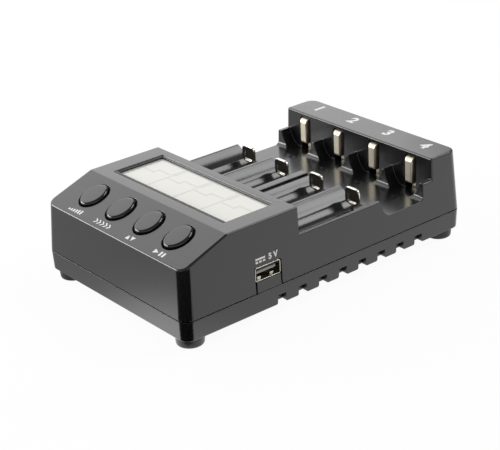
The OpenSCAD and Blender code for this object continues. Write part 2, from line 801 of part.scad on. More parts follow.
bearing_r = 2.4;
shaft_r = 1;
shaft_fit = 0.05;
hub_r = 9;
plate_t = 1.2;
tip_gap = 0.8;
fan_bore_r = fan_w / 2 - 1;
module at_fan() { translate([0, fan_y, z_base_floor]) children(); }
module fan_frame() {
    strut = 2;
    color("#26262a") at_fan() difference() {
        union() {
            difference() {
                translate([-fan_w / 2, -fan_w / 2, 0]) cube([fan_w, fan_w, fan_h]);
                translate([0, 0, -1]) cylinder(r = fan_bore_r, h = fan_h + 2);
            }
            cylinder(r = hub_r - 0.5, h = plate_t);
            for (a = [30, 150, 270]) rotate(a) translate([0, -strut / 2, 0])
                cube([fan_bore_r + 0.5, strut, plate_t]);
            cylinder(r = bearing_r, h = fan_h - 2.6);
        }
        translate([0, 0, plate_t / 2]) cylinder(r = shaft_r + shaft_fit, h = fan_h);
        for (sx = [-1, 1], sy = [-1, 1]) translate([sx * (fan_w / 2 - 4), sy * (fan_w / 2 - 4), -1])
            cylinder(r = 1.7, h = fan_h + 2);
    }
}
module fan_rotor() {
    blade_t = 0.9;
    chord = 5.6;
    pitch_a = 40;
    z0 = plate_t + 0.6;
    z1 = fan_h - 0.5;
    color("#303034") at_fan() {
        difference() {
            translate([0, 0, z0]) cylinder(r = hub_r, h = z1 - z0);
            translate([0, 0, z0 - 1]) cylinder(r = hub_r - 1, h = z1 - z0 - plate_t + 1);
        }
        translate([0, 0, plate_t / 2 + 0.2]) cylinder(r = shaft_r, h = z1 - plate_t - 0.2);
        intersection() {
            cylinder(r = fan_bore_r - tip_gap, h = fan_h);
            for (k = [0:blade_count - 1]) rotate(k * 360 / blade_count)
                translate([hub_r - 0.5, 0, (z0 + z1) / 2]) rotate([pitch_a, 0, 0])
                    translate([0, -chord / 2, -blade_t / 2]) cube([fan_bore_r, chord, blade_t]);
        }
    }
}

top_cover();
bottom_cover();
display_panel();
display_backlight();
button_board();
console_board();
main_board();
board_header();
usb_shell();
usb_tongue();
usb_contacts();
inlet_socket();
inlet_pin();
fan_frame();
fan_rotor();
housing_screws();
for (i = BAYS) {
    button(i);
    tact_switch(i);
    positive_contact(i);
    slider_contact(i);
    slider_carriage(i);
    slider_spring(i);
}
for (corner = CORNERS) foot(corner);
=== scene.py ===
import json
import math

import bmesh
import bpy
from mathutils import Matrix, Vector
from mathutils.bvhtree import BVHTree


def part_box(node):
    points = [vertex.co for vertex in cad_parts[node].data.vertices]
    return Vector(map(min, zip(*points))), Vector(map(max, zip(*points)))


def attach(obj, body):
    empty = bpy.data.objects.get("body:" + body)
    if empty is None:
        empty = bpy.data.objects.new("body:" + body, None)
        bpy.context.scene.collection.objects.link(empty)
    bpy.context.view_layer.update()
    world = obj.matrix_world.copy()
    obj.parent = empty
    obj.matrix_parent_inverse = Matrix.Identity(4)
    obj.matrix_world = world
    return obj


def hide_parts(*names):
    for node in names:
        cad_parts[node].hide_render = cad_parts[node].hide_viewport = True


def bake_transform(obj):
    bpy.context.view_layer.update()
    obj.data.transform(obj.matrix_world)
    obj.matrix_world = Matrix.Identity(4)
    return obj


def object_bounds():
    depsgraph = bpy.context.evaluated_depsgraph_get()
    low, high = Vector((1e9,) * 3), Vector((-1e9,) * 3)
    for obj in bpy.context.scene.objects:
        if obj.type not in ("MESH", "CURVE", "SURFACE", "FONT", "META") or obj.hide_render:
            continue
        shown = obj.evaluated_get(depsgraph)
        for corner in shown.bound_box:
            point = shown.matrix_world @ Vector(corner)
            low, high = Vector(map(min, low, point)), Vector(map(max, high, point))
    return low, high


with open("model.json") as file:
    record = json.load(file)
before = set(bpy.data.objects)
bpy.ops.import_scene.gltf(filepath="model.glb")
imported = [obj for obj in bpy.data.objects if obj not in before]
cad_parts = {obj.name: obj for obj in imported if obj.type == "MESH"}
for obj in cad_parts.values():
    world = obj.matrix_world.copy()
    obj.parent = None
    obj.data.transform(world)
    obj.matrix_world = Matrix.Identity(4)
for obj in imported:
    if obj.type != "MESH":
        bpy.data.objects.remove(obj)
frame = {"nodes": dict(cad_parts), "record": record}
cad_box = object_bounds()


# Photo table and light
# A pale sheet lies under the object in a white room with a dim ceiling, which only gloss shows. In gloss the
# sheet's glow is painted light: brighter on the right, with a painted pool of light before the front face.
# A broad softbox greys the top faces and the slope, a low one draws bright edges, and one at the rear lights
# the cradles.
MM = 0.001
WHITE = "#ffffff"
TABLE_COLOUR = "#f2f2f0"
TABLE_SIZE = 4.0
TABLE_GLOW = 0.95
GLOSS_GLOW = (0.72, 1.2)
GLOSS_EDGES = (-0.05, 0.06)
POOL_PLACE = (0.028, -0.086, 0)
POOL_REACH = 0.06
POOL_GLOW = 1.1
ROOM_FILL = 0.35
CEILING_HEIGHT = 1.3
CEILING_SIZE = 12.0
CEILING_GLOW = 0.3
SOFTBOX_DISTANCE = 1.1
SOFTBOXES = {
    "left_softbox": {"azimuth": 170, "elevation": 37, "size": (1.7, 0.9), "radiance": 1.75},
    "edge_softbox": {"azimuth": 224, "elevation": 14, "size": (0.8, 0.36), "radiance": 10.0},
    "rear_softbox": {"azimuth": 60, "elevation": 46, "size": (0.6, 0.4), "radiance": 5.5}}


def linear(code):
    """Linear colour of an sRGB hex code."""
    shares = [int(code[k:k + 2], 16) / 255 for k in (1, 3, 5)]
    return [s / 12.92 if s <= 0.04045 else ((s + 0.055) / 1.055) ** 2.4 for s in shares] + [1.0]


def add_node(tree, kind, inputs=None, **settings):
    """A node with its settings, and with its inputs set or linked by name or number."""
    node = tree.nodes.new(kind)
    for name, value in settings.items():
        setattr(node, name, value)
    for name, value in (inputs or {}).items():
        if isinstance(value, bpy.types.NodeSocket):
            tree.links.new(value, node.inputs[name])
        else:
            node.inputs[name].default_value = value
    return node


def empty_material(name):
    """A named material with no nodes yet, and its tree."""
    material = bpy.data.materials.new(name)
    material.use_nodes = True
    material.node_tree.nodes.clear()
    return material, material.node_tree


def show(tree, node):
    """Makes a node's first output the surface of the material."""
    add_node(tree, "ShaderNodeOutputMaterial", {"Surface": node.outputs[0]})


def object_place(tree):
    """Where a point of the surface lies on its object."""
    return add_node(tree, "ShaderNodeTexCoord").outputs["Object"]


def calc(tree, operation, first, second):
    """The result of a Math node."""
    return add_node(tree, "ShaderNodeMath", {0: first, 1: second}, operation=operation).outputs[0]


def ranged(tree, share, limits):
    """A value that goes from the first limit to the second while the share goes from 0 to 1."""
    return add_node(
        tree, "ShaderNodeMapRange", {"Value": share, "To Min": limits[0], "To Max": limits[1]}).outputs[0]


def background_ray(tree):
    """1 for a ray of the lens, of gloss or through glass, and 0 for one that only lights."""
    path = add_node(tree, "ShaderNodeLightPath").outputs
    pair = calc(tree, "MAXIMUM", path["Is Camera Ray"], path["Is Glossy Ray"])
    return calc(tree, "MAXIMUM", pair, path["Is Transmission Ray"])


def stage_plane(name, corners, material):
    """A flat sheet of the stage, which is no part of the object."""
    mesh = bpy.data.meshes.new(name)
    mesh.from_pydata(corners, [], [list(range(len(corners)))])
    mesh.materials.append(material)
    sheet = bpy.data.objects.new(name, mesh)
    bpy.context.collection.objects.link(sheet)
    return sheet


def square(size, height):
    """The corners of a level square over the middle of the table."""
    half = size / 2
    return [(-half, -half, height), (half, -half, height), (half, half, height), (-half, half, height)]


def only_in_gloss(sheet):
    """Hides a sheet from the lens and from the light, so that only gloss shows it."""
    sheet.visible_camera = False
    sheet.visible_diffuse = False
    sheet.visible_shadow = False


bpy.context.scene.view_settings.view_transform = "Standard"
room = bpy.data.worlds.new("white_room")
bpy.context.scene.world = room
room.use_nodes = True
tree = room.node_tree
tree.nodes.clear()
strength = ranged(tree, background_ray(tree), (ROOM_FILL, 1.0))
sky = add_node(tree, "ShaderNodeBackground", {"Color": linear(WHITE), "Strength": strength})
add_node(tree, "ShaderNodeOutputWorld", {"Surface": sky.outputs[0]})

paper, tree = empty_material("white_paper")
matt = add_node(tree, "ShaderNodeBsdfDiffuse", {"Color": linear(TABLE_COLOUR)})
place = object_place(tree)
across = add_node(tree, "ShaderNodeSeparateXYZ", {0: place})
# Painted light: in gloss the sheet's glow rises from left to right and has a painted pool of light before the
# front face.
sweep = add_node(
    tree, "ShaderNodeMapRange",
    {"Value": across.outputs["X"], "From Min": GLOSS_EDGES[0], "From Max": GLOSS_EDGES[1],
     "To Min": GLOSS_GLOW[0], "To Max": GLOSS_GLOW[1]})
from_pool = add_node(tree, "ShaderNodeVectorMath", {0: place, 1: POOL_PLACE}, operation="DISTANCE")
pool = add_node(
    tree, "ShaderNodeMapRange",
    {"Value": from_pool.outputs["Value"], "From Max": POOL_REACH, "To Min": POOL_GLOW, "To Max": 0.0},
    interpolation_type="SMOOTHSTEP")
in_gloss = calc(tree, "ADD", sweep.outputs[0], pool.outputs[0])
seen = add_node(tree, "ShaderNodeLightPath").outputs["Is Camera Ray"]
strength = ranged(tree, seen, (in_gloss, 1.0))
glow = add_node(tree, "ShaderNodeEmission", {"Color": linear(WHITE), "Strength": strength})
share = calc(tree, "MULTIPLY", background_ray(tree), TABLE_GLOW)
show(tree, add_node(tree, "ShaderNodeMixShader", {0: share, 1: matt.outputs[0], 2: glow.outputs[0]}))
stage_plane("table", square(TABLE_SIZE, 0), paper)
dim, tree = empty_material("dim_ceiling")
show(tree, add_node(tree, "ShaderNodeEmission", {"Color": linear(WHITE), "Strength": CEILING_GLOW}))
only_in_gloss(stage_plane("ceiling", square(CEILING_SIZE, CEILING_HEIGHT), dim))

for name, box in SOFTBOXES.items():
    softbox_light = bpy.data.lights.new(name, "AREA")
    softbox_light.shape = "RECTANGLE"
    softbox_light.size, softbox_light.size_y = box["size"]
    softbox_light.energy = box["radiance"] * math.pi * box["size"][0] * box["size"][1]
    softbox = bpy.data.objects.new(name, softbox_light)
    bpy.context.collection.objects.link(softbox)
    turn = Matrix.Rotation(math.radians(box["azimuth"]), 3, "Z")
    turn = turn @ Matrix.Rotation(math.radians(-box["elevation"]), 3, "Y")
    towards = turn @ Vector((1, 0, 0))
    softbox.location = towards * SOFTBOX_DISTANCE
    softbox.rotation_euler = towards.to_track_quat("Z", "Y").to_euler()


# Camera
# A long lens on a tripod, turned a little about its own axis. A black card spreads like a fan over the table
# from under the near corner. Only gloss shows it, and it keeps that corner's round edge dark.
IMAGE_WIDTH = 500
FOCAL_PIXELS = 1458.8
SENSOR_WIDTH = 36.0
CAMERA_AZIMUTH = math.radians(51.5)
CAMERA_ELEVATION = math.radians(24.67)
CAMERA_ROLL = math.radians(-2.98)
CAMERA_DISTANCE = 648.3 * MM
AIM_HEIGHT = 15 * MM
AIM_RIGHT = -3.28 * MM
AIM_UP = -0.29 * MM
CARD_COLOUR = "#050505"
CARD_UNDER = 3 * MM
CARD_SPREAD = (-92, -14, 64)
CARD_REACH = 0.4
CARD_LIFT = 0.5 * MM

back = Vector((
    math.sin(CAMERA_AZIMUTH) * math.cos(CAMERA_ELEVATION),
    -math.cos(CAMERA_AZIMUTH) * math.cos(CAMERA_ELEVATION),
    math.sin(CAMERA_ELEVATION)))
level = Vector((math.cos(CAMERA_AZIMUTH), math.sin(CAMERA_AZIMUTH), 0))
right = Matrix.Rotation(CAMERA_ROLL, 3, back) @ level
up = back.cross(right)
aim = Vector((0, 0, AIM_HEIGHT)) + right * AIM_RIGHT + up * AIM_UP
lens = bpy.data.cameras.new("camera")
lens.sensor_width = SENSOR_WIDTH
lens.lens = FOCAL_PIXELS * SENSOR_WIDTH / IMAGE_WIDTH
camera = bpy.data.objects.new("camera", lens)
bpy.context.collection.objects.link(camera)
turn = Matrix((right, up, back)).transposed().to_4x4()
camera.matrix_world = Matrix.Translation(aim + back * CAMERA_DISTANCE) @ turn
bpy.context.scene.camera = camera

near_corner = Vector((cad_box[1].x, cad_box[0].y, CARD_LIFT))
away = Vector((math.sin(CAMERA_AZIMUTH), -math.cos(CAMERA_AZIMUTH), 0))
card_tip = near_corner - away * CARD_UNDER
black, tree = empty_material("black_card")
show(tree, add_node(tree, "ShaderNodeBsdfDiffuse", {"Color": linear(CARD_COLOUR)}))
far_points = [
    card_tip + Matrix.Rotation(math.radians(angle), 3, "Z") @ away * CARD_REACH for angle in CARD_SPREAD]
only_in_gloss(stage_plane("black_card", [card_tip] + far_points, black))


# Bottom cover
# A shallow tray moulded in charcoal ABS, with vent notches along its lower edges, a grille under the fan
# and four screw bosses. It carries the boards, the fan, the inlet and the slider springs.
CHARCOAL = "#0e0e0f"
CHARCOAL_WORN = "#141415"
ABS_IOR = 1.6
ABS_ROUGHNESS = (0.18, 0.26)
TEXTURE_GRAIN = 0.45 * MM
TEXTURE_DEPTH = 0.004 * MM
TEXTURE_STRENGTH = 0.6
GRAIN_DETAIL = 2.0
FLOW_PATCH = 22 * MM
FLOW_DETAIL = 3.0
BASE_EDGE = 0.14 * MM
STRAY_SHARE = 1.2
SHARP_EDGE = math.radians(35)
MERGE_REACH = 0.03 * MM
FLAT_ENOUGH = math.radians(0.5)
MIX_A, MIX_B, MIX_OUT = 6, 7, 2


def noise(tree, place, patch, detail):
    """A share from 0 to 1 that wanders over patches of this size."""
    inputs = {"Vector": place, "Scale": 1 / patch, "Detail": detail}
    return add_node(tree, "ShaderNodeTexNoise", inputs).outputs["Fac"]


def between(tree, share, colour, other):
    """A colour that goes from one to the other while the share goes from 0 to 1."""
    inputs = {0: share, MIX_A: linear(colour), MIX_B: linear(other)}
    return add_node(tree, "ShaderNodeMix", inputs, data_type="RGBA").outputs[MIX_OUT]


def moulded_plastic(name, colour, worn, roughness):
    """Moulded plastic: even, and slightly cloudy in tone and gloss where the melt flowed. The eroded texture
    of the mould is about 0.15 mm in grain, and is drawn three times as coarse so that it shows."""
    material, tree = empty_material(name)
    place = object_place(tree)
    flow = noise(tree, place, FLOW_PATCH, FLOW_DETAIL)
    grain = noise(tree, place, TEXTURE_GRAIN, GRAIN_DETAIL)
    relief = add_node(
        tree, "ShaderNodeBump", {"Height": grain, "Distance": TEXTURE_DEPTH, "Strength": TEXTURE_STRENGTH})
    show(tree, add_node(
        tree, "ShaderNodeBsdfPrincipled",
        {"Base Color": between(tree, flow, colour, worn), "Roughness": ranged(tree, flow, roughness),
         "IOR": ABS_IOR, "Normal": relief.outputs["Normal"]}))
    return material


def plain_mesh(piece):
    """Turns what the modifiers give into the piece's own mesh."""
    graph = bpy.context.evaluated_depsgraph_get()
    mesh = bpy.data.meshes.new_from_object(piece.evaluated_get(graph))
    piece.modifiers.clear()
    piece.data = mesh
    return piece


def new_piece(name, mesh):
    """An object at the origin for a mesh that is already in place."""
    piece = bpy.data.objects.new(name, mesh)
    bpy.context.collection.objects.link(piece)
    return piece


def eased_copy(node, name, edge, segments=2):
    """A copy of a CAD node's mesh with its points joined and its sharp edges eased by a small round. A point
    that strays from the surface by more than the round goes back to it."""
    shape = bmesh.new()
    shape.from_mesh(frame["nodes"][node].data)
    bmesh.ops.remove_doubles(shape, verts=shape.verts, dist=MERGE_REACH)
    bmesh.ops.join_triangles(
        shape, faces=shape.faces, angle_face_threshold=FLAT_ENOUGH, angle_shape_threshold=math.pi)
    mesh = bpy.data.meshes.new(name)
    shape.to_mesh(mesh)
    skin = BVHTree.FromBMesh(shape)
    shape.free()
    mesh.shade_smooth()
    piece = new_piece(name, mesh)
    ease = piece.modifiers.new("ease", "BEVEL")
    ease.width = edge
    ease.segments = segments
    ease.limit_method = "ANGLE"
    ease.angle_limit = SHARP_EDGE
    ease.use_clamp_overlap = False
    ease.loop_slide = False
    ease.miter_outer = "MITER_ARC"
    weigh = piece.modifiers.new("weigh", "WEIGHTED_NORMAL")
    weigh.keep_sharp = True
    plain_mesh(piece)
    for point in piece.data.vertices:
        nearest, _, _, gap = skin.find_nearest(point.co)
        if gap > edge * STRAY_SHARE:
            point.co = nearest
    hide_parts(node)
    return piece


def dress(piece, material, body):
    """Gives a new piece its material and the body that carries it."""
    piece.data.materials.clear()
    piece.data.materials.append(material)
    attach(piece, body)


def dress_node(node, material):
    """Gives a CAD node whose shape is right a better material."""
    for place in frame["nodes"][node].material_slots:
        place.material = material


def block(x0, y0, x1, y1):
    """The outline of an upright rectangle."""
    return [(x0, y0), (x1, y0), (x1, y1), (x0, y1)]


def raised(name, outlines, seat, height):
    """A mesh of flat outlines that stand up by height from a seat: its axes across, up and out, and place."""
    mesh = bpy.data.meshes.new(name)
    shape = bmesh.new()
    for outline in outlines:
        foot = [shape.verts.new(seat @ Vector((x, y, 0))) for x, y in outline]
        top = [shape.verts.new(seat @ Vector((x, y, height))) for x, y in outline]
        shape.faces.new(top)
        shape.faces.new(foot[::-1])
        for k in range(len(outline)):
            shape.faces.new((foot[k - 1], foot[k], top[k], top[k - 1]))
    shape.to_mesh(mesh)
    shape.free()
    return mesh


abs_cover = moulded_plastic("charcoal_abs_textured", CHARCOAL, CHARCOAL_WORN, ABS_ROUGHNESS)
bottom_cover = eased_copy("bottom_cover", "bottom_cover_moulding", BASE_EDGE)
dress(bottom_cover, abs_cover, "housing")


# Rubber feet
# Four pucks of black rubber, tapered towards the table and stuck under the corners of the bottom cover.
# They have a satin skin and a little dust, so their tone wanders more than that of the plastic above them.
RUBBER = "#0f0f0f"
RUBBER_DUST = "#1c1b1a"
RUBBER_ROUGHNESS = 0.42
RUBBER_IOR = 1.46
RUBBER_SPECK = 0.6 * MM
SPECK_DETAIL = 4.0
RUBBER_PIT = 0.02 * MM
PIT_STRENGTH = 0.5
FOOT_EDGE = 0.35 * MM
FEET = ("front_left", "front_right", "rear_left", "rear_right")

rubber, tree = empty_material("black_rubber_moulded")
speck = noise(tree, object_place(tree), RUBBER_SPECK, SPECK_DETAIL)
pits = add_node(tree, "ShaderNodeBump", {"Height": speck, "Distance": RUBBER_PIT, "Strength": PIT_STRENGTH})
show(tree, add_node(
    tree, "ShaderNodeBsdfPrincipled",
    {"Base Color": between(tree, speck, RUBBER, RUBBER_DUST), "Roughness": RUBBER_ROUGHNESS,
     "IOR": RUBBER_IOR, "Normal": pits.outputs["Normal"]}))
for corner in FEET:
    foot = eased_copy("foot_" + corner, "rubber_foot_" + corner, FOOT_EDGE, segments=3)
    dress(foot, rubber, "housing")


# Circuit boards
# Glass-fibre boards under a green solder mask: one behind the buttons, one under the display and one under
# the cradles. Copper tracks show through the mask as slightly paler lines.
MASK = "#1d4a31"
MASK_TRACK = "#2c6844"
MASK_ROUGHNESS = 0.35
MASK_IOR = 1.5
TRACK_PITCH = 2.5 * MM
TRACK_SHARE = 0.03

board, tree = empty_material("solder_mask_on_glass_fibre")
tracks = add_node(
    tree, "ShaderNodeTexBrick",
    {"Vector": object_place(tree), "Scale": 1 / TRACK_PITCH, "Mortar Size": TRACK_SHARE,
     "Color1": linear(MASK), "Color2": linear(MASK), "Mortar": linear(MASK_TRACK)})
show(tree, add_node(
    tree, "ShaderNodeBsdfPrincipled",
    {"Base Color": tracks.outputs["Color"], "Roughness": MASK_ROUGHNESS, "IOR": MASK_IOR}))
for node in ("main_board", "console_board", "button_board"):
    dress_node(node, board)


# Switches, header, fan and inlet
# Small black mouldings of glass-filled nylon, a little greyer and duller than the covers: the switches and
# the header are soldered to the boards, and the fan and the inlet stand on the cover.
NYLON = "#141415"
NYLON_FLOW = "#1d1d1f"
NYLON_ROUGHNESS = (0.32, 0.42)
INLET_EDGE = 0.25 * MM
BAYS = (1, 2, 3, 4)

nylon = moulded_plastic("black_nylon_moulded", NYLON, NYLON_FLOW, NYLON_ROUGHNESS)
for node in ("board_header", "fan_frame", "fan_rotor"):
    dress_node(node, nylon)
for number in BAYS:
    dress_node(f"tact_switch_{number}", nylon)
inlet = eased_copy("inlet_socket", "power_inlet_socket", INLET_EDGE)
dress(inlet, nylon, "housing")


# USB outlet
# A shell folded from tin-plated steel, a moulded tongue under its roof and four gold-plated strips. The
# sheet keeps faint rolling lines along the socket, and its cut mouth catches the light. Two spring tabs in
# its floor have a crest each, whose profile is given in millimetres from the mouth and the underside.
TIN = "#e2ded3"
TIN_DULL = "#bab6ab"
TIN_ROUGHNESS = (0.22, 0.36)
ROLLING_LINE = 0.4 * MM
LINE_STRETCH = 0.05
SHELL_EDGE = 0.12 * MM
CREST_WIDTH = 1.9 * MM
CREST_SHARE = 0.25
CREST_PROFILE = ((-1.92, 1.0), (-2.3, 1.1), (-3.0, 1.0), (-3.6, 0.4), (-1.75, 0.4))
CREST_SIDES = {"front": -1, "rear": 1}
TONGUE = "#8d8d8b"
TONGUE_FLOW = "#9a9a98"
TONGUE_ROUGHNESS = (0.35, 0.45)
TONGUE_EDGE = 0.1 * MM
GOLD = "#d9b25c"
GOLD_WORN = "#b98f3f"
GOLD_ROUGHNESS = (0.2, 0.35)
PLATING_PATCH = 1.2 * MM
PLATING_DETAIL = 2.0


def plated_metal(name, colour, dull, patch, roughness, stretch=1.0):
    """Plated metal: bright, with a tone and a gloss that wander in patches. A stretch under 1 draws the
    patches out along X."""
    material, tree = empty_material(name)
    drawn = add_node(tree, "ShaderNodeMapping", {"Vector": object_place(tree), "Scale": (stretch, 1.0, 1.0)})
    plating = noise(tree, drawn.outputs[0], patch, PLATING_DETAIL)
    show(tree, add_node(
        tree, "ShaderNodeBsdfPrincipled",
        {"Base Color": between(tree, plating, colour, dull), "Roughness": ranged(tree, plating, roughness),
         "Metallic": 1.0}))
    return material


tin = plated_metal("tin_plated_steel_sheet", TIN, TIN_DULL, ROLLING_LINE, TIN_ROUGHNESS, LINE_STRETCH)
dress(eased_copy("usb_shell", "usb_shell_sheet", SHELL_EDGE), tin, "housing")
low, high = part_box("usb_shell")
profile = [(u * MM, v * MM) for u, v in CREST_PROFILE]
crest_axes = Matrix(((1, 0, 0), (0, 0, 1), (0, -1, 0))).transposed().to_4x4()
for side, step in CREST_SIDES.items():
    crest_y = (low.y + high.y) / 2 + step * (high.y - low.y) * CREST_SHARE + CREST_WIDTH / 2
    seat = Matrix.Translation((high.x, crest_y, low.z)) @ crest_axes
    crest = new_piece(f"usb_spring_{side}", raised(f"usb_spring_{side}", [profile], seat, CREST_WIDTH))
    dress(crest, tin, "housing")
pbt = moulded_plastic("grey_pbt_moulded", TONGUE, TONGUE_FLOW, TONGUE_ROUGHNESS)
dress(eased_copy("usb_tongue", "usb_tongue_moulding", TONGUE_EDGE), pbt, "housing")
gold = plated_metal("gold_plated_bronze", GOLD, GOLD_WORN, PLATING_PATCH, GOLD_ROUGHNESS)
dress_node("usb_contacts", gold)


# Positive contacts
# Strips of spring bronze, bent to a step, plated with nickel and pushed up into the rear wall. The plating
# has a warm tone, and the sheared edges are rounded over by it.
NICKEL = "#dfd8c8"
NICKEL_WARM = "#d0c6b0"
NICKEL_ROUGHNESS = (0.42, 0.5)
NICKEL_PATCH = 3.0 * MM
STRIP_EDGE = 0.18 * MM

nickel = plated_metal("nickel_plated_bronze_satin", NICKEL, NICKEL_WARM, NICKEL_PATCH, NICKEL_ROUGHNESS)
dress_node("inlet_pin", nickel)
for number in BAYS:
    strip = eased_copy(f"positive_contact_{number}", f"positive_strip_{number}", STRIP_EDGE, segments=3)
    dress(strip, nickel, "housing")


# Sliders
# Each bay has a tray pressed from bright nickel-plated sheet, on a nylon carriage in a channel under the
# cradle. A close-wound spring of drawn wire pulls the carriage back towards the rear wall.
BRIGHT_NICKEL = "#d6d2ca"
BRIGHT_NICKEL_DULL = "#c2bdb2"
BRIGHT_ROUGHNESS = (0.12, 0.18)
TRAY_EDGE = 0.3 * MM
CARRIAGE_EDGE = 0.15 * MM
WIRE = "#b4b4b0"
WIRE_DULL = "#8a8a87"
WIRE_ROUGHNESS = (0.25, 0.4)
WIRE_RADIUS = 0.2 * MM
WIRE_SIDES = 6
WIRE_PITCH = 0.75 * MM
TURN_POINTS = 14


def geometry_tree(name, sockets):
    """An empty Geometry Nodes tree with the named inputs, and the sockets that give their values."""
    tree = bpy.data.node_groups.new(name, "GeometryNodeTree")
    for label, kind in sockets.items():
        tree.interface.new_socket(label, in_out="INPUT", socket_type="NodeSocket" + kind)
    tree.interface.new_socket("Geometry", in_out="OUTPUT", socket_type="NodeSocketGeometry")
    return tree, add_node(tree, "NodeGroupInput").outputs


def give_coated(tree, geometry, material):
    """Ends a Geometry Nodes tree: its copies become plain meshes and get the material."""
    whole = add_node(tree, "GeometryNodeRealizeInstances", {"Geometry": geometry})
    coated = add_node(tree, "GeometryNodeSetMaterial", {"Geometry": whole.outputs[0], "Material": material})
    add_node(tree, "NodeGroupOutput", {"Geometry": coated.outputs[0]})


def grow(name, unit, tree, sizes):
    """A piece whose plain mesh is what the tree makes of a unit mesh with these sizes."""
    piece = new_piece(name, unit)
    modifier = piece.modifiers.new("grow", "NODES")
    modifier.node_group = tree
    for item in tree.interface.items_tree:
        if item.in_out == "INPUT" and item.name in sizes:
            modifier[item.identifier] = sizes[item.name]
    return plain_mesh(piece)


bright_nickel = plated_metal(
    "nickel_plated_steel_bright", BRIGHT_NICKEL, BRIGHT_NICKEL_DULL, NICKEL_PATCH, BRIGHT_ROUGHNESS)
steel_wire = plated_metal("drawn_spring_wire", WIRE, WIRE_DULL, PLATING_PATCH, WIRE_ROUGHNESS)
coil_tree, size = geometry_tree(
    "close_wound_spring",
    {"Turns": "Float", "Coil radius": "Float", "Wire radius": "Float", "Length": "Float", "Anchor": "Vector"})
helix = add_node(
    coil_tree, "GeometryNodeCurveSpiral",
    {"Resolution": TURN_POINTS, "Rotations": size["Turns"], "Start Radius": size["Coil radius"],
     "End Radius": size["Coil radius"], "Height": size["Length"]})
section = add_node(
    coil_tree, "GeometryNodeCurvePrimitiveCircle", {"Resolution": WIRE_SIDES, "Radius": size["Wire radius"]})
wire = add_node(
    coil_tree, "GeometryNodeCurveToMesh",
    {"Curve": helix.outputs[0], "Profile Curve": section.outputs[0], "Fill Caps": True})
laid = add_node(
    coil_tree, "GeometryNodeTransform",
    {"Geometry": wire.outputs[0], "Translation": size["Anchor"], "Rotation": (math.radians(90), 0, 0)})
give_coated(coil_tree, laid.outputs[0], steel_wire)

for number in BAYS:
    tray = eased_copy(f"slider_contact_{number}", f"slider_tray_{number}", TRAY_EDGE, segments=3)
    dress(tray, bright_nickel, f"slider_{number}")
    carriage = eased_copy(f"slider_carriage_{number}", f"slider_runner_{number}", CARRIAGE_EDGE)
    dress(carriage, nylon, f"slider_{number}")
    low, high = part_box(f"slider_spring_{number}")
    middle = (low + high) / 2
    wound = (high.z - low.z) / 2 - WIRE_RADIUS
    length = high.y - low.y - 2 * WIRE_RADIUS
    anchor = Vector((middle.x, high.y - WIRE_RADIUS, middle.z))
    coil = grow(f"slider_coil_{number}", bpy.data.meshes.new("coil"), coil_tree, {
        "Turns": length / WIRE_PITCH, "Coil radius": wound, "Wire radius": WIRE_RADIUS, "Length": length,
        "Anchor": anchor})
    coil.data.shade_smooth()
    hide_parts(f"slider_spring_{number}")
    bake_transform(coil)


# Display
# A pale liquid-crystal glass lies in the stepped window over a white light guide. It is off, so only the
# faint edges of its four fields show. The glue seal round the glass is a little greyer. A strip of black
# rubber on the front ledge of the window is painted shade: it draws the dark line of shade along that edge.
GLASS = "#d6d5ce"
GLASS_CLOUD = "#d1d0c9"
GLASS_ROUGHNESS = 0.12
GLASS_IOR = 1.5
GLASS_PATCH = 30 * MM
MIST_DETAIL = 2.0
GLASS_EDGE = 0.2 * MM
GUIDE = "#f0f0ee"
GUIDE_ROUGHNESS = 0.4
SEGMENT = "#cdccc6"
SEGMENT_CLOUD = "#c1c0ba"
SEGMENT_LIFT = 0.03 * MM
FIELDS = 4
FIELD_PITCH = 18.5 * MM
FIELD_WIDTH = 15.6 * MM
LINE_WIDTH = 1.1 * MM
GAP_WIDTH = 2.6 * MM
GAP_LENGTH = 8.2 * MM
LOW_SHARE = 0.45
STEP_LOW = -34.6 * MM
STEP_HIGH = -31.7 * MM
VIEW_FRONT = -47.3 * MM
VIEW_REAR = -22.3 * MM
SEAL_HALF = 37.4 * MM
SEAL_WIDTH = 1.1 * MM
# Size and place of the black strip of painted shade on the front ledge of the window.
SHADE_STRIP_HALF = 38.1 * MM
SHADE_STRIP_FRONT = -48.05 * MM
SHADE_STRIP_REAR = -46.9 * MM
SHADE_STRIP_HEIGHT = 0.58 * MM
LEDGE_DROP = 0.6 * MM


def clear_over(name, colour, cloud, roughness):
    """A pale layer under a clear one: even, faintly clouded, with a reflection on top."""
    material, tree = empty_material(name)
    mist = noise(tree, object_place(tree), GLASS_PATCH, MIST_DETAIL)
    show(tree, add_node(
        tree, "ShaderNodeBsdfPrincipled",
        {"Base Color": between(tree, mist, colour, cloud), "Roughness": roughness, "IOR": GLASS_IOR}))
    return material


row_tree, size = geometry_tree(
    "row_across", {"Geometry": "Geometry", "Count": "Int", "Pitch": "Vector", "Finish": "Material"})
line = add_node(
    row_tree, "GeometryNodeMeshLine", {"Count": size["Count"], "Offset": size["Pitch"]}, mode="OFFSET")
copies = add_node(
    row_tree, "GeometryNodeInstanceOnPoints", {"Points": line.outputs[0], "Instance": size["Geometry"]})
give_coated(row_tree, copies.outputs[0], size["Finish"])

lcd = clear_over("liquid_crystal_glass", GLASS, GLASS_CLOUD, GLASS_ROUGHNESS)
dress(eased_copy("display_panel", "display_glass", GLASS_EDGE), lcd, "housing")
guide = clear_over("white_acrylic_light_guide", GUIDE, GLASS, GUIDE_ROUGHNESS)
dress_node("display_backlight", guide)

